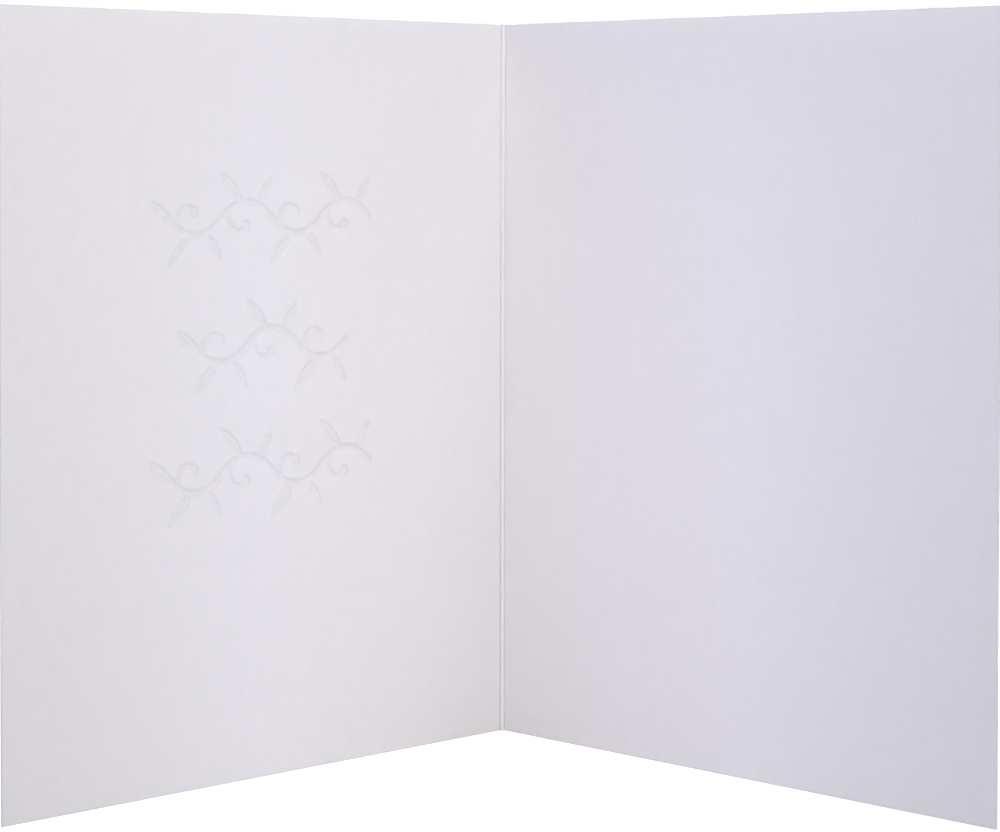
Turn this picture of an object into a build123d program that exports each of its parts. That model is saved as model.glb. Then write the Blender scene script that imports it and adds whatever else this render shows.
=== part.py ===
from build123d import *
from math import atan2, cos, degrees, radians, sin, tan
import os

# A square greeting card, standing open on its bottom edges like a small screen.
# It is one sheet of board: two covers joined at a pressed crease, with three rows of
# trailing sprigs embossed through the front cover, raised outside and hollow inside.
# The origin is on the bottom edge, in the middle of the crease. The covers open towards -Y,
# and the front cover is the one at -X.

# Sheet of board
card_height = 160.0
cover_width = 160.0
board_thickness = 0.36
opening_angle = 74.2

# Crease: a bead on the inside between two valleys, and a shallow score along the spine
crease_width = 1.05
bead_height = 0.36
fold_thickness = 0.72
score_width = 0.8
score_depth = 0.06

# Embossing: how far the board is pushed out, and the slope of the pushed walls
relief_depth = 0.08
relief_wall_angle = 40.0

# Rows of sprigs, from the top one down, placed on the cover from the crease and the bottom edge
row_waves = (4, 3, 4)
row_pitch = 26.5
rows_middle_across = 79.0
rows_middle_up = 91.0

# Stem, waving along its row, and the tendril that curls into each wave
stem_width = 1.7
wave_length = 16.0
wave_rise = 3.3
tendril_width = 1.3
tendril_radius = 3.0
tendril_sweep = 175.0
tendril_start = 26.0
tendril_branching = 28.0
berry_radius = 1.25

# Leaves: two on the outer side of each wave, and one that ends the row
leaf_length = 9.8
leaf_width = 2.9
leaf_lean = 42.0
leaf_start = 6.0
small_leaf_length = 7.5
small_leaf_width = 2.3
small_leaf_lean = 128.0
small_leaf_start = -18.0
end_leaf_overlap = 2.2

# Directions in plan: along a cover from the crease to its free edge, and square out of the board
half_opening = radians(opening_angle / 2)
along = Vector(sin(half_opening), -cos(half_opening))
outward = Vector(cos(half_opening), sin(half_opening))

# Right half of the sheet's section
valley = Vector(crease_width / 2, 0)
inner_corner = valley + along * (cover_width - crease_width / 2)
outer_corner = inner_corner + outward * board_thickness
bead_crest = Vector(0, -bead_height)

# The spine is an arc tangent to both outer faces, with its crown fold_thickness behind the bead
outer_start = valley + outward * board_thickness
outer_apex = outer_start.Y + outer_start.X / tan(half_opening)
spine_crown = fold_thickness - bead_height
spine_radius = (outer_apex - spine_crown) / (1 / sin(half_opening) - 1)
spine_centre = Vector(0, spine_crown - spine_radius)
spine_end = spine_centre + outward * spine_radius
score_rise = (spine_radius**2 - (score_width / 2) ** 2) ** 0.5
score_edge = spine_centre + Vector(score_width / 2, score_rise)
score_floor = Vector(0, spine_crown - score_depth)

# Inner face of the front cover, with x from the crease to the free edge, y up and z outwards
front_inside = Plane(
    origin=(-valley.X, valley.Y, 0),
    x_dir=(-along.X, along.Y, 0),
    z_dir=(-outward.X, outward.Y, 0),
)

# Every wave is one arc, bent up or down, and the taper leans the pushed walls of leaf and berry
wave_radius = (wave_length**2 / 4 + wave_rise**2) / (2 * wave_rise)
wave_half_turn = 2 * degrees(atan2(wave_rise, wave_length / 2))
wall_taper = 90 - relief_wall_angle


def on_wave(start, bend, turn):
    """Point of the wave that begins at start, at a turn in degrees past its crest."""
    across = wave_length / 2 + wave_radius * sin(radians(turn))
    rise = wave_rise - wave_radius + wave_radius * cos(radians(turn))
    return start + Vector(across, bend * rise)


def on_cover(point, heading):
    """Plane at a point of the front cover's inner face, with its x axis along a heading."""
    return front_inside.moved(Location((point.X, point.Y, 0), (0, 0, heading)))


def stroke(path, width):
    """A drawn line pushed through the board, flat along its middle, with sloping walls."""
    across = front_inside.z_dir.cross(path % 0)
    with BuildPart() as line:
        with BuildSketch(Plane(origin=path @ 0, x_dir=across, z_dir=path % 0)):
            Trapezoid(width, relief_depth, relief_wall_angle, align=(Align.CENTER, Align.MIN))
        sweep(path=path)
    return line.part


def leaf(root, heading, length, width):
    """A pointed leaf, drawn with two arcs from its root to its tip."""
    with BuildPart() as blade:
        with BuildSketch(on_cover(root, heading)):
            with BuildLine():
                SagittaArc((0, 0), (length, 0), width / 2)
                SagittaArc((length, 0), (0, 0), width / 2)
            make_face()
        extrude(amount=relief_depth, taper=wall_taper)
    return blade.part


def tendril(start, bend):
    """A curl that leaves the stem past its crest and turns into the wave."""
    root = on_wave(start, bend, tendril_start)
    heading = radians(-bend * (tendril_start + tendril_branching))
    with BuildLine(front_inside) as curl:
        JernArc((root.X, root.Y), (cos(heading), sin(heading)), tendril_radius, -bend * tendril_sweep)
    return curl.wire()


def berry(centre):
    """A round berry."""
    with BuildPart() as bead:
        with BuildSketch(on_cover(centre, 0)):
            Circle(berry_radius)
        extrude(amount=relief_depth, taper=wall_taper)
    return bead.part


def sprig(waves, first_bend, middle_up):
    """One row: a waving stem with its leaves, tendrils and berries, as one pressed shape."""
    row_start = Vector(rows_middle_across - waves * wave_length / 2, middle_up)
    starts = [row_start + Vector(wave * wave_length, 0) for wave in range(waves)]
    bends = [first_bend * (-1) ** wave for wave in range(waves)]
    with BuildLine(front_inside) as stem:
        for start, bend in zip(starts, bends):
            SagittaArc((start.X, start.Y), (start.X + wave_length, start.Y), bend * wave_rise)
    end_turn = wave_half_turn - degrees(end_leaf_overlap / wave_radius)
    end_root = on_wave(starts[-1], bends[-1], end_turn)
    with BuildPart() as row:
        add(stroke(stem.wire(), stem_width))
        for start, bend in zip(starts, bends):
            leaf_root = on_wave(start, bend, leaf_start)
            add(leaf(leaf_root, bend * leaf_lean, leaf_length, leaf_width))
            small_leaf_root = on_wave(start, bend, small_leaf_start)
            add(leaf(small_leaf_root, bend * small_leaf_lean, small_leaf_length, small_leaf_width))
            curl = tendril(start, bend)
            add(stroke(curl, tendril_width))
            add(berry(front_inside.to_local_coords(curl @ 1)))
        add(leaf(end_root, -bends[-1] * end_turn, leaf_length, leaf_width))
    return row.part


sprigs = []
for row, waves in enumerate(row_waves):
    middle_up = rows_middle_up + ((len(row_waves) - 1) / 2 - row) * row_pitch
    sprigs.append(sprig(waves, (-1) ** row, middle_up))

with BuildPart() as card:
    with BuildSketch():
        with BuildLine():
            TangentArc(bead_crest, valley, tangent=(1, 0))
            Line(valley, inner_corner)
            Line(inner_corner, outer_corner)
            Line(outer_corner, spine_end)
            TangentArc(spine_end, score_edge, tangent=-along)
            TangentArc(score_floor, score_edge, tangent=(1, 0))
            mirror(about=Plane.YZ)
        make_face()
    extrude(amount=card_height)
    add(sprigs, mode=Mode.SUBTRACT)
    with Locations(front_inside.z_dir * board_thickness):
        add(sprigs)

card.part.label = "card"
os.makedirs("parts", exist_ok=True)
export_step(card.part, "parts/card.step")
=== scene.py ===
import math

import bpy
import numpy as np
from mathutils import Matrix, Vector
from mathutils.geometry import delaunay_2d_cdt


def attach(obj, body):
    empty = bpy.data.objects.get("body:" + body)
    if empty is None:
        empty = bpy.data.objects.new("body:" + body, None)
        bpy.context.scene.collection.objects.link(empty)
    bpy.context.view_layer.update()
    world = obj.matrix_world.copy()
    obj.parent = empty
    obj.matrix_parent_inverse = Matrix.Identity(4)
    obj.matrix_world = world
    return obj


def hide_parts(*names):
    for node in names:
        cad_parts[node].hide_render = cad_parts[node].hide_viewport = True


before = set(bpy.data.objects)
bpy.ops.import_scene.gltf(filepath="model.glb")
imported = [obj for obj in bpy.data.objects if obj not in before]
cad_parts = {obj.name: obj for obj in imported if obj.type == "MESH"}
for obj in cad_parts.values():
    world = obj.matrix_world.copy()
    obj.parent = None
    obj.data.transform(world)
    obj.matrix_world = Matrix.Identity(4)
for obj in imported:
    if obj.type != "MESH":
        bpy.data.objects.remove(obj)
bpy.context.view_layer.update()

# The card. One sheet of white 300 g board, cut to 320 x 160 mm, with the sprigs pressed through its front
# half and a rule pressed down its middle, then folded there and stood up with its covers 74 degrees apart.
# Lengths are in millimetres here, on the flat sheet and folded, and the mesh is turned into metres.
mm = 0.001
card_height = 160.0
cover_width = 160.0
board_thickness = 0.36
cut_edge_round = 0.1
opening_angle = 74.2
half_opening = math.radians(opening_angle / 2)
along = np.array([math.sin(half_opening), -math.cos(half_opening)])
outward = np.array([math.cos(half_opening), math.sin(half_opening)])

# The crease: a round bead on the inside between two soft valleys, and a shallow score down the spine.
# The rule squeezes the board in each valley and along the spine. The darker lines painted there are partly
# that squeezed board and partly painted shade, and the bead is painted a little darker as painted shade.
crease_width = 1.05
bead_height = 0.36
valley_round = 0.05
fold_thickness = 0.72
score_width = 0.8
score_depth = 0.06
valley_shade_line_width = 0.26
spine_shade_line_width = 0.5
bead_painted_shade = 0.2


def direction(angle):
    """Directions in plan, at angles turned from straight inside towards the back cover."""
    return np.stack([np.sin(angle), -np.cos(angle)], axis=-1)


bead_radius = (crease_width**2 / 4 + bead_height**2) / (2 * bead_height)
bead_centre = np.array([0.0, bead_radius - bead_height])
valley = np.array([crease_width / 2, 0.0])
to_valley = valley - outward * valley_round - bead_centre
centres_apart = bead_radius + valley_round
along_part = to_valley @ along
valley_run = -along_part + math.sqrt(along_part**2 - to_valley @ to_valley + centres_apart**2)
valley_centre = bead_centre + to_valley + along * valley_run
bead_turn = math.atan2(valley_centre[0] - bead_centre[0], bead_centre[1] - valley_centre[1])
flat_turn = math.pi / 2 + half_opening

spine_crown = fold_thickness - bead_height
outer_start = valley + outward * board_thickness
outer_apex = outer_start[1] + outer_start[0] / math.tan(half_opening)
spine_radius = (outer_apex - spine_crown) / (1 / math.sin(half_opening) - 1)
spine_centre = np.array([0.0, spine_crown - spine_radius])
flat_start = (spine_centre + outward * spine_radius - valley) @ along

# Half of the section through the crease, from its middle to where both faces run flat. Its curves are
# drawn finely first, and then cut into the even steps that the mesh follows.
curve_samples = 120
straight_samples = 40
spine_samples = 240
crease_steps = 30
bead = direction(np.linspace(0, bead_turn, curve_samples))
hollow = direction(np.linspace(bead_turn + math.pi, flat_turn, curve_samples))
straight = np.linspace(valley_run, flat_start, straight_samples)[1:, None] * along
inside_line = np.concatenate([
    bead_centre + bead_radius * bead,
    valley_centre + valley_round * hollow[1:],
    valley + straight,
])
inside_facing = np.concatenate([bead, -hollow[1:], np.repeat([-outward], len(straight), axis=0)])
spine_turn = np.linspace(0, math.pi / 2 - half_opening, spine_samples)
score_turn = math.asin(score_width / 2 / spine_radius)
score = score_depth * (0.5 + 0.5 * np.cos(np.pi * np.minimum(spine_turn / score_turn, 1)))
spine = (spine_radius - score)[:, None] * np.stack([np.sin(spine_turn), np.cos(spine_turn)], axis=1)
outside_line = spine_centre + spine
spine_run = np.gradient(outside_line, axis=0)
spine_run /= np.linalg.norm(spine_run, axis=1)[:, None]
outside_facing = np.stack([-spine_run[:, 1], spine_run[:, 0]], axis=1)


def even_steps(line, values, steps):
    """Values along a line, at even steps of its length, with that length."""
    length = np.concatenate([[0], np.cumsum(np.linalg.norm(np.diff(line, axis=0), axis=1))])
    places = np.linspace(0, length[-1], steps + 1)
    return np.stack([np.interp(places, length, column) for column in values.T], axis=1), length[-1]


crease_inside, crease_reach = even_steps(inside_line, inside_line, crease_steps)
crease_inside_facing = even_steps(inside_line, inside_facing, crease_steps)[0]
crease_outside = even_steps(outside_line, outside_line, crease_steps)[0]
crease_outside_facing = even_steps(outside_line, outside_facing, crease_steps)[0]
crease_across = np.linspace(0, crease_reach, crease_steps + 1)
valley_across = bead_radius * bead_turn + valley_round * (flat_turn - bead_turn - math.pi) / 2
half_sheet = crease_reach + cover_width - crease_width / 2 - flat_start


def folded(across, up, section, facing):
    """Points and normals of one face of the folded sheet, from places on the flat sheet."""
    side = np.where(across < 0, -1.0, 1.0)
    places = np.abs(across)
    on_cover = np.maximum(places - crease_reach, 0)[:, None] * along
    plan = np.stack([np.interp(places, crease_across, column) for column in section.T], axis=1) + on_cover
    facings = np.stack([np.interp(places, crease_across, column) for column in facing.T], axis=1)
    facings /= np.linalg.norm(facings, axis=1)[:, None]
    points = np.stack([plan[:, 0] * side, plan[:, 1], up], axis=1)
    return points, np.stack([facings[:, 0] * side, facings[:, 1], np.zeros(len(up))], axis=1)


# The sprigs: three rows of one waving stem, each wave with two leaves, a curling tendril and a berry.
# A steel die pushes them out of the front cover, so they stand proud outside and hollow inside.
# Places on the cover run from the crease and from the bottom edge. No sprig reaches nearer to the crease
# than sprigs_from, or further from it than sprigs_to.
relief_depth = 0.08
sprigs_from = 30
sprigs_to = 130
row_waves = (4, 3, 4)
row_pitch = 26.5
rows_middle_across = 79.0
rows_middle_up = 91.0
stem_width = 1.7
wave_length = 16.0
wave_rise = 3.3
tendril_width = 1.3
tendril_radius = 3.0
tendril_sweep = 175.0
tendril_start = 26.0
tendril_branching = 28.0
berry_radius = 1.25
leaf_length = 9.8
leaf_width = 2.9
leaf_lean = 42.0
leaf_start = 6.0
small_leaf_length = 7.5
small_leaf_width = 2.3
small_leaf_lean = 128.0
small_leaf_start = -18.0
end_leaf_overlap = 2.2
wave_radius = (wave_length**2 / 4 + wave_rise**2) / (2 * wave_rise)
wave_half_turn = 2 * math.degrees(math.atan2(wave_rise, wave_length / 2))


def turned(degrees):
    """Direction on the cover, at an angle in degrees from straight away from the crease."""
    return np.array([math.cos(math.radians(degrees)), math.sin(math.radians(degrees))])


def on_wave(start, bend, turn):
    """Place on the wave that begins at start, at a turn in degrees past its crest."""
    return start + np.array([
        wave_length / 2 + wave_radius * math.sin(math.radians(turn)),
        bend * (wave_rise - wave_radius + wave_radius * math.cos(math.radians(turn))),
    ])


strokes, leaves, berries = [], [], []
for row, waves in enumerate(row_waves):
    row_up = rows_middle_up + ((len(row_waves) - 1) / 2 - row) * row_pitch
    for wave in range(waves):
        start = np.array([rows_middle_across + (wave - waves / 2) * wave_length, row_up])
        bend = (-1) ** (row + wave)
        centre = start + np.array([wave_length / 2, bend * (wave_rise - wave_radius)])
        strokes.append((centre, wave_radius, 90 * bend, wave_half_turn, stem_width / 2))
        leaves.append((on_wave(start, bend, leaf_start), bend * leaf_lean, leaf_length, leaf_width))
        small_root = on_wave(start, bend, small_leaf_start)
        leaves.append((small_root, bend * small_leaf_lean, small_leaf_length, small_leaf_width))
        root = on_wave(start, bend, tendril_start)
        heading = -bend * (tendril_start + tendril_branching)
        centre = root + tendril_radius * turned(heading - 90 * bend)
        middle = heading + 90 * bend - bend * tendril_sweep / 2
        strokes.append((centre, tendril_radius, middle, tendril_sweep / 2, tendril_width / 2))
        tip = centre + tendril_radius * turned(middle - bend * tendril_sweep / 2)
        berries.append((tip, berry_radius))
    end_turn = wave_half_turn - math.degrees(end_leaf_overlap / wave_radius)
    leaves.append((on_wave(start, bend, end_turn), -bend * end_turn, leaf_length, leaf_width))


def from_stroke(places, stroke):
    """Distance from places on the cover to a stroke's outline, less than nothing inside it."""
    centre, radius, middle, half_sweep, half_width = stroke
    spoke = places - centre
    turn = np.degrees(np.arctan2(spoke[:, 1], spoke[:, 0])) - middle
    turn = (turn + 180) % 360 - 180
    ends = [centre + radius * turned(middle + side * half_sweep) for side in (-1, 1)]
    to_end = np.minimum(*[np.linalg.norm(places - end, axis=1) for end in ends])
    to_arc = np.abs(np.linalg.norm(spoke, axis=1) - radius)
    return np.where(np.abs(turn) <= half_sweep, to_arc, to_end) - half_width


def leaf_places(places, leaf):
    """Places on the cover as run along a leaf from its middle, and as run across it."""
    root, heading, length, width = leaf
    run = (places - root) @ turned(heading) - length / 2
    return run, (places - root) @ turned(heading + 90)


def leaf_arc(leaf):
    """Radius of the two arcs that bound a leaf, and how far their centres lie from its middle line."""
    length, width = leaf[2:]
    radius = (length**2 + width**2) / (4 * width)
    return radius, radius - width / 2


def from_leaf(places, leaf):
    """Distance from places on the cover to a leaf's outline, less than nothing inside it."""
    run, across = leaf_places(places, leaf)
    radius, offset = leaf_arc(leaf)
    return np.hypot(run, np.abs(across) + offset) - radius


def from_sprigs(places):
    """Distance from places on the cover to the nearest outline of any sprig."""
    nearest = np.full(len(places), np.inf)
    for stroke in strokes:
        np.minimum(nearest, from_stroke(places, stroke), out=nearest)
    for leaf in leaves:
        np.minimum(nearest, from_leaf(places, leaf), out=nearest)
    for centre, radius in berries:
        np.minimum(nearest, np.linalg.norm(places - centre, axis=1) - radius, out=nearest)
    return nearest


# The die's walls are soft: they start outside an outline and end inside it, further on inside the card,
# where the board bridges the die. A fine vein runs along the middle of every leaf and fades at its ends.
wall_inside = (0.38, -0.62)
wall_outside = (0.22, -0.30)
vein_inside = 0.02
vein_outside = 0.03
vein_reach = 0.1875
vein_half_share = 0.4
vein_shift_share = 0.02
vein_fade_share = 0.12


def smooth_step(values):
    """Values held between nothing and one, with a soft start and end."""
    values = np.clip(values, 0, 1)
    return values * values * (3 - 2 * values)


def pressed_out(places, wall, vein_depth):
    """How far the board is pushed out at places on the front cover."""
    lift = smooth_step((wall[0] - from_sprigs(places)) / (wall[0] - wall[1]))
    vein = np.zeros(len(places))
    for leaf in leaves:
        run, across = leaf_places(places, leaf)
        length = leaf[2]
        from_middle = np.abs(run - length * vein_shift_share)
        fade = smooth_step((length * vein_half_share - from_middle) / (length * vein_fade_share))
        vein = np.maximum(vein, fade * np.exp(-(across / vein_reach) ** 2))
    return (relief_depth - vein_depth * vein) * lift


# Lines on the flat sheet for its faces to follow: the outlines at several distances, the veins, the
# crease and the cut edges. Where one outline runs inside another shape it is left out.
outline_levels = (0.38, 0.24, 0.1, -0.04, -0.18, -0.32, -0.47, -0.62)
outline_slack = 0.05
line_step = 0.42
vein_lines = (-0.36, -0.24, -0.12, 0.0, 0.12, 0.24, 0.36)
vein_line_start_share = 0.1
vein_line_end_share = 0.94
vein_line_margin = 0.42
lines = []


def arc_line(centre, radius, middle, half_sweep):
    """Points on an arc of the flat cover, about one step apart."""
    count = max(4, math.ceil(math.radians(2 * half_sweep) * radius / line_step))
    turns = np.radians(middle + np.linspace(-half_sweep, half_sweep, count + 1))
    return centre + radius * np.stack([np.cos(turns), np.sin(turns)], axis=1)


for level in outline_levels:
    for centre, radius, middle, half_sweep, half_width in strokes:
        for side in (-1, 1):
            lines.append((level, arc_line(centre, radius + side * (half_width + level), middle, half_sweep)))
            tip = centre + radius * turned(middle + side * half_sweep)
            lines.append((level, arc_line(tip, half_width + level, middle + side * (half_sweep + 90), 90)))
    for leaf in leaves:
        radius, offset = leaf_arc(leaf)
        root, heading, length = leaf[:3]
        leaf_middle = root + turned(heading) * length / 2
        half_sweep = math.degrees(math.acos(offset / (radius + level)))
        for side in (-1, 1):
            centre = leaf_middle - side * offset * turned(heading + 90)
            lines.append((level, arc_line(centre, radius + level, heading + 90 * side, half_sweep)))
    for centre, radius in berries:
        lines.append((level, arc_line(centre, radius + level, 0, 180)))
begins = np.concatenate([line[:-1] for level, line in lines])
ends = np.concatenate([line[1:] for level, line in lines])
levels = np.concatenate([np.full(len(line) - 1, level) for level, line in lines])
kept = from_sprigs((begins + ends) / 2) > levels - outline_slack
segments = [np.stack([begins[kept], ends[kept]], axis=1)]
for leaf in leaves:
    root, heading, length = leaf[:3]
    line_start = length * vein_line_start_share
    line_end = length * vein_line_end_share
    run = np.linspace(line_start, line_end, math.ceil((line_end - line_start) / line_step) + 1)
    for across in vein_lines:
        line = root + run[:, None] * turned(heading) + across * turned(heading + 90)
        inside = from_leaf((line[:-1] + line[1:]) / 2, leaf) < -vein_line_margin
        segments.append(np.stack([line[:-1][inside], line[1:][inside]], axis=1))
segments = np.concatenate(segments)

# From places on the cover to places on the whole flat sheet, where the front cover is on the left.
segments[:, :, 0] = -(segments[:, :, 0] + crease_reach - flat_start)
point_runs = [segments.reshape(-1, 2)]
line_runs = [np.arange(2 * len(segments)).reshape(-1, 2)]


def add_line(points):
    """Adds a run of points on the flat sheet, with a line through them."""
    first = sum(map(len, point_runs)) + np.arange(len(points) - 1)
    point_runs.append(points)
    line_runs.append(np.stack([first, first + 1], axis=1))


# Between those lines the sheet has a wide grid, with a narrow step along its cut edges.
edge_across = half_sheet - cut_edge_round
edge_up = card_height - cut_edge_round
corner_step = 0.1
grid_lines = 41
grid_clearance = 0.8
hair = 1e-6
flat_steps = np.linspace(crease_reach, edge_across - corner_step, grid_lines)
half_columns = np.concatenate([crease_across[:-1], flat_steps, [edge_across]])
columns = np.concatenate([-half_columns[:0:-1], half_columns])
rows = np.linspace(cut_edge_round + corner_step, edge_up - corner_step, grid_lines)
rows = np.concatenate([[cut_edge_round], rows, [edge_up]])
for up in (cut_edge_round, edge_up):
    add_line(np.stack([columns, np.full(len(columns), up)], axis=1))
for across in np.concatenate([columns[[0, -1]], columns[np.abs(columns) <= crease_reach + hair]]):
    add_line(np.stack([np.full(len(rows), across), rows], axis=1))
grid = np.stack(np.meshgrid(columns[1:-1], rows[1:-1], indexing="ij"), axis=-1).reshape(-1, 2)
grid = grid[np.abs(grid[:, 0]) > crease_reach + hair]
cover_places = np.stack([-grid[:, 0] - crease_reach + flat_start, grid[:, 1]], axis=1)
grid = grid[(grid[:, 0] > 0) | (from_sprigs(cover_places) > grid_clearance)]
point_runs.append(grid)
sheet_points = [Vector(point) for point in np.concatenate(point_runs).tolist()]
sheet_lines = np.concatenate(line_runs).tolist()

# The flat sheet in triangles, all turned the same way, without those that have no area.
joining_distance = 1e-5
least_area = 1e-9
sheet, _, triangles, _, _, _ = delaunay_2d_cdt(sheet_points, sheet_lines, [], 0, joining_distance, False)
sheet = np.array([tuple(point) for point in sheet])
triangles = np.array(triangles)
corners = sheet[triangles]
first_side, second_side = corners[:, 1] - corners[:, 0], corners[:, 2] - corners[:, 0]
area = first_side[:, 0] * second_side[:, 1] - first_side[:, 1] * second_side[:, 0]
triangles = np.where((area < 0)[:, None], triangles[:, ::-1], triangles)
triangles = triangles[np.abs(area) > least_area]
slope_step = 0.02


def board_face(section, facing, die, outer):
    """Points and normals of one whole face of the board, how far the die pushed it out, and where the crease
    is painted darker as squeezed board and painted shade.
    """
    points, normals = folded(sheet[:, 0], sheet[:, 1], section, facing)
    front = np.stack([-sheet[:, 0] - crease_reach + flat_start, sheet[:, 1]], axis=1)
    near = (front[:, 0] > sprigs_from) & (front[:, 0] < sprigs_to)
    lift = np.zeros(len(sheet))
    lift[near] = pressed_out(front[near], *die)
    out_of_cover = np.array([-outward[0], outward[1], 0])
    away = np.array([-along[0], along[1], 0])
    steps = (np.array([slope_step, 0]), np.array([0, slope_step]))
    rises = [pressed_out(front[near] + step, *die) - pressed_out(front[near] - step, *die) for step in steps]
    slopes = [rise / (2 * slope_step) for rise in rises]
    points += lift[:, None] * out_of_cover
    tilted = out_of_cover - slopes[0][:, None] * away - slopes[1][:, None] * np.array([0, 0, 1.0])
    tilted /= np.linalg.norm(tilted, axis=1)[:, None]
    normals[near] = tilted if outer else -tilted
    # The crease's darker lines: partly board that the rule squeezed, partly painted shade in the valleys, on
    # the spine and over the bead.
    line, width = (0, spine_shade_line_width) if outer else (valley_across, valley_shade_line_width)
    past_line = np.abs(sheet[:, 0]) - line
    creased_and_shaded = np.maximum(np.exp(-(past_line / width) ** 2), bead_painted_shade * (past_line < 0))
    return points, normals, lift / relief_depth, creased_and_shaded


inner_points, inner_normals, inner_pressed, inner_creased_and_shaded = board_face(
    crease_inside, crease_inside_facing, (wall_inside, vein_inside), False)
outer_points, outer_normals, outer_pressed, outer_creased_and_shaded = board_face(
    crease_outside, crease_outside_facing, (wall_outside, vein_outside), True)

# The cut edge, with its two sharp arrises just broken, goes round the sheet from face to face.
at_bottom = np.isclose(sheet[:, 1], cut_edge_round)
at_top = np.isclose(sheet[:, 1], edge_up)
at_left = np.isclose(sheet[:, 0], -edge_across)
at_right = np.isclose(sheet[:, 0], edge_across)
border = []
for side, key, step in ((at_bottom, 0, 1), (at_right, 1, 1), (at_top, 0, -1), (at_left, 1, -1)):
    members = np.flatnonzero(side)
    border.extend(members[np.argsort(sheet[members, key])][::step][:-1])
border = np.array(border)
leaning = np.stack([at_right * 1.0 - at_left, at_top * 1.0 - at_bottom], axis=1)[border]
arris_turns = np.radians([30, 60, 90])
ring_out = cut_edge_round * np.sin(np.concatenate([arris_turns, arris_turns[::-1]]))
arris_depths = cut_edge_round * (1 - np.cos(arris_turns))
ring_depth = np.concatenate([arris_depths, board_thickness - arris_depths[::-1]])
ring_turn = np.concatenate([arris_turns, np.pi - arris_turns[::-1]])
ring_points, ring_normals, ring_sheet, ring_ply = [], [], [], []
for out, depth, turn in zip(ring_out, ring_depth, ring_turn):
    places = sheet[border] + leaning * out
    inner, inner_facing = folded(places[:, 0], places[:, 1], crease_inside, crease_inside_facing)
    outer, outer_facing = folded(places[:, 0], places[:, 1], crease_outside, crease_outside_facing)
    ring_points.append(inner + (outer - inner) * depth / board_thickness)
    away = np.stack([leaning[:, 0] * along[0], np.abs(leaning[:, 0]) * along[1], leaning[:, 1]], axis=1)
    away /= np.linalg.norm(away, axis=1)[:, None]
    face = inner_facing if turn <= np.pi / 2 else outer_facing
    ring_normals.append(away * math.sin(turn) + face * abs(math.cos(turn)))
    ring_sheet.append(places)
    ring_ply.append(np.full(len(border), depth / board_thickness))

face_points = len(sheet)
ring_members = 2 * face_points + np.arange(len(ring_turn) * len(border)).reshape(len(ring_turn), -1)
rings = [border, *ring_members, border + face_points]
edge_strips = []
for ring, next_ring in zip(rings[:-1], rings[1:]):
    edge_strips.append(np.stack([ring, next_ring, np.roll(next_ring, -1), np.roll(ring, -1)], axis=1))
edge_faces = np.concatenate(edge_strips)

points = np.concatenate([inner_points, outer_points, *ring_points]) * mm
normals = np.concatenate([inner_normals, outer_normals, *ring_normals])
flat_places = np.concatenate([sheet, sheet, *ring_sheet]) * mm
pressed = np.concatenate([inner_pressed, outer_pressed, np.zeros(ring_members.size)])
creased_and_shaded = np.concatenate([inner_creased_and_shaded, outer_creased_and_shaded, np.zeros(ring_members.size)])
ply = np.concatenate([np.zeros(face_points), np.ones(face_points), *ring_ply])
faces = triangles.tolist() + (triangles[:, ::-1] + face_points).tolist() + edge_faces.tolist()

card_mesh = bpy.data.meshes.new("card_sheet")
card_mesh.from_pydata(points.tolist(), [], faces)
card_mesh.polygons.foreach_set("use_smooth", np.ones(len(faces), dtype=bool))
slots = np.repeat([0, 1, 2], [len(triangles), len(triangles), len(edge_faces)])
card_mesh.polygons.foreach_set("material_index", slots.astype(np.int32))
place_on_sheet = card_mesh.attributes.new("place_on_sheet", "FLOAT_VECTOR", "POINT")
place_on_sheet.data.foreach_set("vector", np.pad(flat_places, ((0, 0), (0, 1))).ravel())
card_mesh.attributes.new("pressed", "FLOAT", "POINT").data.foreach_set("value", pressed)
card_mesh.attributes.new("creased_and_shaded", "FLOAT", "POINT").data.foreach_set("value", creased_and_shaded)
card_mesh.attributes.new("ply", "FLOAT", "POINT").data.foreach_set("value", ply)
card_mesh.update()
card_mesh.normals_split_custom_set_from_vertices(normals.tolist())
card_sheet = bpy.data.objects.new("card_sheet", card_mesh)
bpy.context.collection.objects.link(card_sheet)


# The board's surface. Pulp lies in soft clouds with fibres along the grain, which runs with the crease,
# and holds a rare dark fleck. The inside is bare board and the outside has a thin smooth coating.
# Board that a tool has squeezed is painted darker, partly as denser board and partly as painted shade.
# Noises are given in waves per millimetre.
# The colour of squeezed board. It also paints shade in the die's hollows, the crease and the rim, and
# colours the seams of the cut edge.
squeezed_and_shaded_board = (0.42, 0.41, 0.42)
clouds_per_mm = 0.22
fibres_per_mm = 1.6
cross_fibres_per_mm = 1.4
felt_per_mm = 2.6
fibre_stretch = (1.0, 0.22, 1.0)
cross_fibre_stretch = (0.3, 1.0, 1.0)
cross_fibre_share = 0.4
cloud_contrast = 0.45
fibre_contrast = 0.6
felt_contrast = 0.4
felt_sharpness = 0.6
fleck_colour = (0.25, 0.22, 0.2)
fleck_strength = 0.2
fleck_spacing = 17
fleck_share = 0.08
smallest_fleck = 0.004
fleck_variation = 0.009


def shader_group(name, inputs, outputs):
    """An empty node group with the named inputs and outputs."""
    group = bpy.data.node_groups.new(name, "ShaderNodeTree")
    for label, kind, value in inputs:
        socket = group.interface.new_socket(name=label, in_out="INPUT", socket_type=kind)
        if value is not None:
            socket.default_value = value
    for label, kind in outputs:
        group.interface.new_socket(name=label, in_out="OUTPUT", socket_type=kind)
    return group, group.nodes.new("NodeGroupInput"), group.nodes.new("NodeGroupOutput")


def maths(tree, operation, *values):
    """The result of one step of arithmetic on sockets and numbers."""
    node = tree.nodes.new("ShaderNodeMath")
    node.operation = operation
    for socket, value in zip(node.inputs, values):
        if isinstance(value, bpy.types.NodeSocket):
            tree.links.new(value, socket)
        else:
            socket.default_value = value
    return node.outputs[0]


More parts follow.
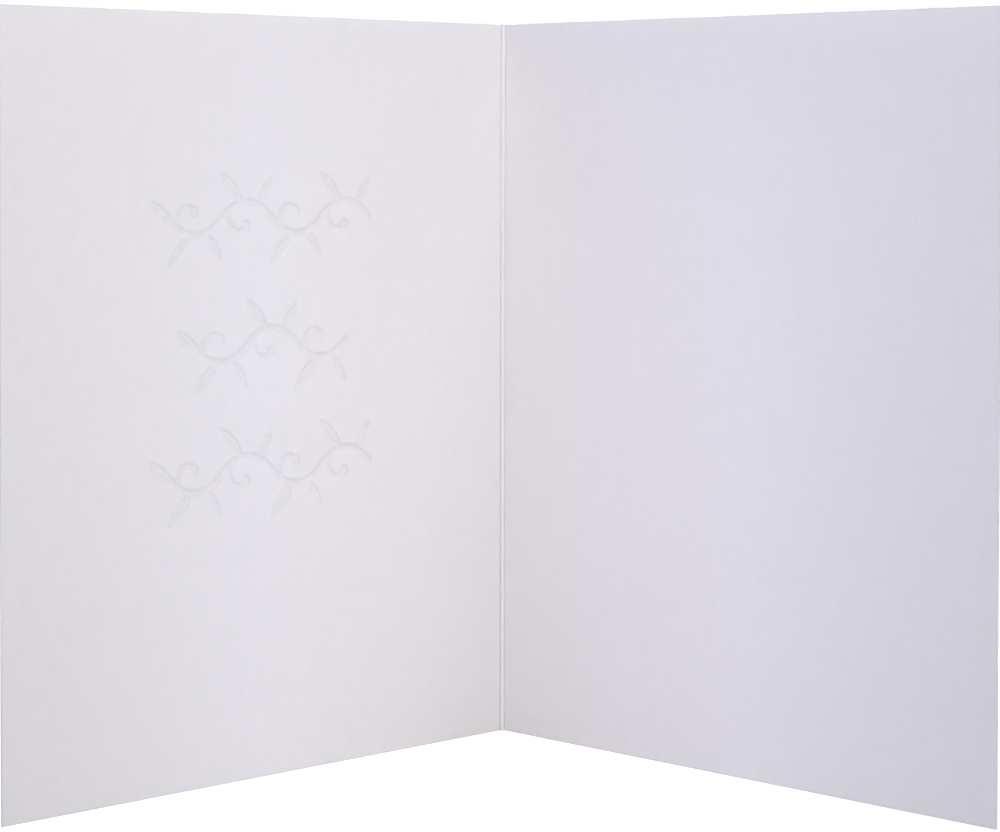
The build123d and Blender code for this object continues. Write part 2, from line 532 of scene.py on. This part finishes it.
def noise(tree, place, per_mm, detail, stretch=(1, 1, 1), sharpness=0.5):
    """A flat noise on places of the sheet, with so many waves to the millimetre."""
    mapping = tree.nodes.new("ShaderNodeMapping")
    mapping.inputs["Scale"].default_value = [per_mm / mm * share for share in stretch]
    tree.links.new(place, mapping.inputs["Vector"])
    cloud = tree.nodes.new("ShaderNodeTexNoise")
    cloud.noise_dimensions = "2D"
    cloud.inputs["Scale"].default_value = 1.0
    cloud.inputs["Detail"].default_value = detail
    cloud.inputs["Roughness"].default_value = sharpness
    tree.links.new(mapping.outputs[0], cloud.inputs["Vector"])
    return cloud.outputs["Fac"]


pulp, pulp_in, pulp_out = shader_group(
    "pulp", [("Place", "NodeSocketVector", None)],
    [("Tone", "NodeSocketFloat"), ("Height", "NodeSocketFloat"), ("Fleck", "NodeSocketFloat")])
pulp_place = pulp_in.outputs["Place"]
clouds = noise(pulp, pulp_place, clouds_per_mm, 3)
along_grain = noise(pulp, pulp_place, fibres_per_mm, 2, fibre_stretch)
across_grain = noise(pulp, pulp_place, cross_fibres_per_mm, 2, cross_fibre_stretch)
felt = noise(pulp, pulp_place, felt_per_mm, 3, sharpness=felt_sharpness)
fibres = maths(pulp, "MULTIPLY", along_grain, 1 - cross_fibre_share)
fibres = maths(pulp, "MULTIPLY_ADD", across_grain, cross_fibre_share, fibres)
tone = maths(pulp, "MULTIPLY_ADD", clouds, cloud_contrast, maths(pulp, "MULTIPLY", fibres, fibre_contrast))
tone = maths(pulp, "MULTIPLY_ADD", felt, felt_contrast, tone)
tone_excess = (cloud_contrast + fibre_contrast + felt_contrast - 1) / 2
pulp.links.new(maths(pulp, "SUBTRACT", tone, tone_excess), pulp_out.inputs["Tone"])
pulp.links.new(felt, pulp_out.inputs["Height"])
scatter = pulp.nodes.new("ShaderNodeTexVoronoi")
scatter.voronoi_dimensions = "2D"
scatter.inputs["Scale"].default_value = 1 / (fleck_spacing * mm)
pulp.links.new(pulp_place, scatter.inputs["Vector"])
pick = pulp.nodes.new("ShaderNodeSeparateColor")
pulp.links.new(scatter.outputs["Color"], pick.inputs[0])
fleck_size = maths(pulp, "MULTIPLY_ADD", pick.outputs[1], fleck_variation, smallest_fleck)
within = maths(pulp, "LESS_THAN", scatter.outputs["Distance"], fleck_size)
chosen = maths(pulp, "LESS_THAN", pick.outputs[0], fleck_share)
pulp.links.new(maths(pulp, "MULTIPLY", within, chosen), pulp_out.inputs["Fleck"])

# Where the board is painted darker: the die marks its walls most, and unevenly, the creasing rule leaves its
# lines along the fold, and the cutting rule presses the rim of the sheet down a little. Each of these is
# partly squeezed board and partly painted shade.
rim_mark_and_shade_width = 0.4
die_wall_mark_and_shade = 3.2
die_floor_mark_and_shade = 0.5
die_patches_per_mm = 0.35
die_patch_sharpness = 0.7
die_unevenness = 3.0
die_least_contact = -0.6
tooled_and_shaded, tooled_and_shaded_in, tooled_and_shaded_out = shader_group(
    "tooled_and_shaded",
    [("Place", "NodeSocketVector", None), ("Pressed", "NodeSocketFloat", 0.0),
     ("Creased_and_shaded", "NodeSocketFloat", 0.0), ("Die_and_shade", "NodeSocketFloat", 0.1),
     ("Rule_and_shade", "NodeSocketFloat", 0.3), ("Rim_and_shade", "NodeSocketFloat", 0.1)],
    [("Squeezed_and_shaded", "NodeSocketFloat")])
tooled_place = tooled_and_shaded_in.outputs["Place"]
patches = noise(tooled_and_shaded, tooled_place, die_patches_per_mm, 3, sharpness=die_patch_sharpness)
contact = maths(tooled_and_shaded, "MULTIPLY_ADD", patches, die_unevenness, die_least_contact)
lifted = tooled_and_shaded_in.outputs["Pressed"]
# The die's walls, and less so its floors, are painted darker: partly squeezed board, partly painted shade in
# the hollows.
wall = maths(tooled_and_shaded, "MULTIPLY", lifted, die_wall_mark_and_shade)
wall = maths(tooled_and_shaded, "MULTIPLY", maths(tooled_and_shaded, "SUBTRACT", 1.0, lifted), wall)
die_mark_and_shade = maths(tooled_and_shaded, "MULTIPLY_ADD", lifted, die_floor_mark_and_shade, wall)
die_mark_and_shade = maths(tooled_and_shaded, "MULTIPLY", die_mark_and_shade, contact)
die_mark_and_shade = maths(tooled_and_shaded, "MULTIPLY", die_mark_and_shade, tooled_and_shaded_in.outputs["Die_and_shade"])
# The rule's lines along the fold, partly squeezed board and partly painted shade.
rule_mark_and_shade = maths(tooled_and_shaded, "MULTIPLY", tooled_and_shaded_in.outputs["Creased_and_shaded"], tooled_and_shaded_in.outputs["Rule_and_shade"])
spot = tooled_and_shaded.nodes.new("ShaderNodeSeparateXYZ")
tooled_and_shaded.links.new(tooled_place, spot.inputs[0])
from_side = maths(tooled_and_shaded, "SUBTRACT", half_sheet * mm, maths(tooled_and_shaded, "ABSOLUTE", spot.outputs["X"]))
from_top = maths(tooled_and_shaded, "SUBTRACT", card_height * mm, spot.outputs["Y"])
from_cut = maths(tooled_and_shaded, "MINIMUM", maths(tooled_and_shaded, "MINIMUM", from_side, from_top), spot.outputs["Y"])
# The rim along the cut edge is painted darker: partly pressed down by the cutting rule, partly painted
# shade.
rim_mark_and_shade = maths(tooled_and_shaded, "DIVIDE", from_cut, -rim_mark_and_shade_width * mm)
rim_mark_and_shade = maths(tooled_and_shaded, "MAXIMUM", maths(tooled_and_shaded, "ADD", rim_mark_and_shade, 1.0), 0.0)
squeeze_and_shade = maths(tooled_and_shaded, "MAXIMUM", die_mark_and_shade, rule_mark_and_shade)
squeeze_and_shade = maths(tooled_and_shaded, "MULTIPLY_ADD", rim_mark_and_shade, tooled_and_shaded_in.outputs["Rim_and_shade"], squeeze_and_shade)
tooled_and_shaded.links.new(squeeze_and_shade, tooled_and_shaded_out.inputs["Squeezed_and_shaded"])


def mixed(tree, factor, first, second):
    """One colour mixed with another."""
    mix = tree.nodes.new("ShaderNodeMix")
    mix.data_type = "RGBA"
    for socket, value in ((mix.inputs["Factor"], factor), (mix.inputs[6], first), (mix.inputs[7], second)):
        if isinstance(value, bpy.types.NodeSocket):
            tree.links.new(value, socket)
        elif isinstance(value, tuple):
            socket.default_value = (*value, 1)
        else:
            socket.default_value = value
    return mix.outputs[2]


def attribute(tree, name):
    """The node of a value that the mesh holds at each of its points."""
    node = tree.nodes.new("ShaderNodeAttribute")
    node.attribute_name = name
    return node


board_specular = 0.3
tone_gloss = 0.1
squeezed_gloss = 0.5


def board_material(name, light, dark, roughness, tooth, marks_and_shade):
    """Board whose tone, tooth and flecks come from its pulp, painted darker where the tools squeezed it,
    partly as painted shade.
    """
    material = bpy.data.materials.new(name)
    material.use_nodes = True
    tree = material.node_tree
    surface = tree.nodes["Principled BSDF"]
    place = attribute(tree, "place_on_sheet").outputs["Vector"]
    body = tree.nodes.new("ShaderNodeGroup")
    body.node_tree = pulp
    tree.links.new(place, body.inputs["Place"])
    work_and_shade = tree.nodes.new("ShaderNodeGroup")
    work_and_shade.node_tree = tooled_and_shaded
    tree.links.new(place, work_and_shade.inputs["Place"])
    tree.links.new(attribute(tree, "pressed").outputs["Fac"], work_and_shade.inputs["Pressed"])
    tree.links.new(attribute(tree, "creased_and_shaded").outputs["Fac"], work_and_shade.inputs["Creased_and_shaded"])
    for tool, mark in marks_and_shade.items():
        work_and_shade.inputs[tool].default_value = mark
    colour = mixed(tree, body.outputs["Tone"], dark, light)
    colour = mixed(tree, work_and_shade.outputs["Squeezed_and_shaded"], colour, squeezed_and_shaded_board)
    fleck = maths(tree, "MULTIPLY", body.outputs["Fleck"], fleck_strength)
    tree.links.new(mixed(tree, fleck, colour, fleck_colour), surface.inputs["Base Color"])
    rough = maths(tree, "MULTIPLY_ADD", body.outputs["Tone"], -tone_gloss, roughness + tone_gloss / 2)
    rough = maths(tree, "MULTIPLY_ADD", work_and_shade.outputs["Squeezed_and_shaded"], -squeezed_gloss, rough)
    tree.links.new(rough, surface.inputs["Roughness"])
    surface.inputs["Specular IOR Level"].default_value = board_specular
    bump = tree.nodes.new("ShaderNodeBump")
    bump.inputs["Strength"].default_value = 1.0
    bump.inputs["Distance"].default_value = tooth * mm
    tree.links.new(body.outputs["Height"], bump.inputs["Height"])
    tree.links.new(bump.outputs[0], surface.inputs["Normal"])
    return material


# Each face's marks say how much darker the die, the rule and the rim are painted, as squeezed board and
# painted shade.
card_mesh.materials.append(board_material(
    "board_inside", light=(0.83, 0.81, 0.845), dark=(0.77, 0.755, 0.785), roughness=0.8, tooth=0.006,
    marks_and_shade={"Die_and_shade": 0.13, "Rule_and_shade": 0.38, "Rim_and_shade": 0.25}))
card_mesh.materials.append(board_material(
    "board_outside", light=(0.83, 0.82, 0.835), dark=(0.79, 0.78, 0.8), roughness=0.55, tooth=0.003,
    marks_and_shade={"Die_and_shade": 0.08, "Rule_and_shade": 0.45, "Rim_and_shade": 0.1}))

# The cut edge is rougher, and shows the board's three plies, with a darker seam on each side of the middle
# one. Seams are placed by their share of the board's thickness.
seam_from_middle = 0.2
seam_width = 1 / 12
seam_strength = 0.5
cut_edge = board_material(
    "board_cut_edge", light=(0.78, 0.76, 0.76), dark=(0.68, 0.66, 0.66), roughness=0.9, tooth=0.02,
    marks_and_shade={"Die_and_shade": 0.0, "Rule_and_shade": 0.0, "Rim_and_shade": 0.0})
edge_tree = cut_edge.node_tree
from_middle = maths(edge_tree, "SUBTRACT", attribute(edge_tree, "ply").outputs["Fac"], 0.5)
from_seam = maths(edge_tree, "SUBTRACT", maths(edge_tree, "ABSOLUTE", from_middle), seam_from_middle)
from_seam = maths(edge_tree, "ABSOLUTE", from_seam)
seam = maths(edge_tree, "MAXIMUM", maths(edge_tree, "MULTIPLY_ADD", from_seam, -1 / seam_width, 1.0), 0.0)
seam = maths(edge_tree, "MULTIPLY", seam, seam_strength)
edge_colour = edge_tree.nodes["Principled BSDF"].inputs["Base Color"]
ply_colour = edge_colour.links[0].from_socket
edge_tree.links.new(mixed(edge_tree, seam, ply_colour, squeezed_and_shaded_board), edge_colour)
card_mesh.materials.append(cut_edge)
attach(card_sheet, "root")
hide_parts("card")

# The table: one wide, matt, pale top that throws soft light up on the covers. The camera sees it lighter
# than it is, so that it is white in the picture and only a deep shadow would show on it.
table_reach = 3
table_grey = (0.4, 0.4, 0.4, 1)
shade_grey = (0.2, 0.2, 0.2, 1)
table_glow = 0.88


def seen(tree):
    """One for rays that show a thing as it looks, straight, mirrored or through glass, and else nothing."""
    rays = tree.nodes.new("ShaderNodeLightPath")
    direct = maths(tree, "MAXIMUM", rays.outputs["Is Camera Ray"], rays.outputs["Is Glossy Ray"])
    return maths(tree, "MAXIMUM", direct, rays.outputs["Is Transmission Ray"])


floor_mesh = bpy.data.meshes.new("white_floor")
floor_corners = [(-table_reach, -table_reach, 0), (table_reach, -table_reach, 0),
                 (table_reach, table_reach, 0), (-table_reach, table_reach, 0)]
floor_mesh.from_pydata(floor_corners, [], [(0, 1, 2, 3)])
white_floor = bpy.data.objects.new("white_floor", floor_mesh)
bpy.context.collection.objects.link(white_floor)
floor_white = bpy.data.materials.new("floor_white")
floor_white.use_nodes = True
floor_tree = floor_white.node_tree
matt = floor_tree.nodes["Principled BSDF"]
matt.inputs["Base Color"].default_value = table_grey
matt.inputs["Roughness"].default_value = 1.0
matt.inputs["Specular IOR Level"].default_value = 0.0
shaded = floor_tree.nodes.new("ShaderNodeBsdfDiffuse")
shaded.inputs["Color"].default_value = shade_grey
glow = floor_tree.nodes.new("ShaderNodeEmission")
glow.inputs["Strength"].default_value = table_glow
both = floor_tree.nodes.new("ShaderNodeAddShader")
floor_tree.links.new(shaded.outputs[0], both.inputs[0])
floor_tree.links.new(glow.outputs[0], both.inputs[1])
choice = floor_tree.nodes.new("ShaderNodeMixShader")
floor_tree.links.new(seen(floor_tree), choice.inputs[0])
floor_tree.links.new(matt.outputs[0], choice.inputs[1])
floor_tree.links.new(both.outputs[0], choice.inputs[2])
floor_tree.links.new(choice.outputs[0], floor_tree.nodes["Material Output"].inputs["Surface"])
floor_mesh.materials.append(floor_white)

# Light. A pale room, a big warm lamp above, low cool lamps on both sides, a small lamp close on the right
# and one with a grid further off, which keeps to the card's middle. Three lamps behind the card, one high
# and two low at the sides, light its outside.
room_colour = (0.111, 0.121, 0.125)
room_white = (1.0, 1.0, 1.0)
room = bpy.data.worlds.new("pale_room")
room.use_nodes = True
bpy.context.scene.world = room
room_tree = room.node_tree
backdrop = room_tree.nodes["Background"]
room_tree.links.new(mixed(room_tree, seen(room_tree), room_colour, room_white), backdrop.inputs["Color"])
backdrop.inputs["Strength"].default_value = 1.0
card_middle = (0.0, -0.06, 0.08)
card_upper_part = (0.0, -0.03, 0.115)
card_back = (0.0, -0.03, 0.08)
for name, place, aim, size, spread, power, colour in (
    ("lamp_above", (0.0, -0.4, 1.3), card_middle, 0.8, 180, 12.7, (1.0, 0.872, 0.863)),
    ("lamp_low_left", (-1.2, -0.9, 0.35), card_middle, 0.6, 180, 5.04, (0.647, 0.709, 1.0)),
    ("lamp_low_right", (1.2, -0.9, 0.35), card_middle, 0.6, 180, 4.58, (0.753, 0.791, 1.0)),
    ("lamp_close", (0.4, -0.6, 0.45), card_middle, 0.3, 180, 0.85, (0.97, 1.0, 0.714)),
    ("lamp_grid", (0.0, -1.0, 0.9), card_upper_part, 0.3, 25, 0.198, (0.927, 0.983, 1.0)),
    ("lamp_behind", (0.0, 0.9, 1.0), card_back, 0.25, 180, 13.5, (1.0, 0.97, 0.99)),
    ("lamp_behind_left", (-1.1, 0.75, 0.16), card_back, 0.2, 180, 3.8, (0.95, 0.96, 1.0)),
    ("lamp_behind_right", (1.1, 0.75, 0.16), card_back, 0.2, 180, 2.9, (0.95, 0.96, 1.0)),
):
    lamp = bpy.data.lights.new(name, "AREA")
    lamp.size = size
    lamp.spread = math.radians(spread)
    lamp.energy = power
    lamp.color = colour
    lamp_stand = bpy.data.objects.new(name, lamp)
    lamp_stand.location = place
    lamp_stand.rotation_euler = (Vector(aim) - Vector(place)).to_track_quat("-Z", "Y").to_euler()
    bpy.context.collection.objects.link(lamp_stand)

# The camera. It stands 0.88 m in front of the card, a little lower than the card's top, and looks slightly
# down between the covers at the crease. Its three small angles, in radians, and its lens come from the
# places of the card's corners in the photo.
look_down = 0.0391
camera_roll = -0.0016
camera_turn = 0.0058
camera = bpy.data.cameras.new("camera")
camera.lens = 140.3
camera.sensor_width = 36.0
camera.shift_y = -0.12
camera.clip_start = 0.01
viewpoint = bpy.data.objects.new("camera", camera)
viewpoint.location = (0.0044, -0.8808, 0.1332)
viewpoint.rotation_euler = (math.pi / 2 - look_down, camera_roll, camera_turn)
bpy.context.collection.objects.link(viewpoint)
bpy.context.scene.camera = viewpoint
bpy.context.scene.view_settings.view_transform = "Standard"
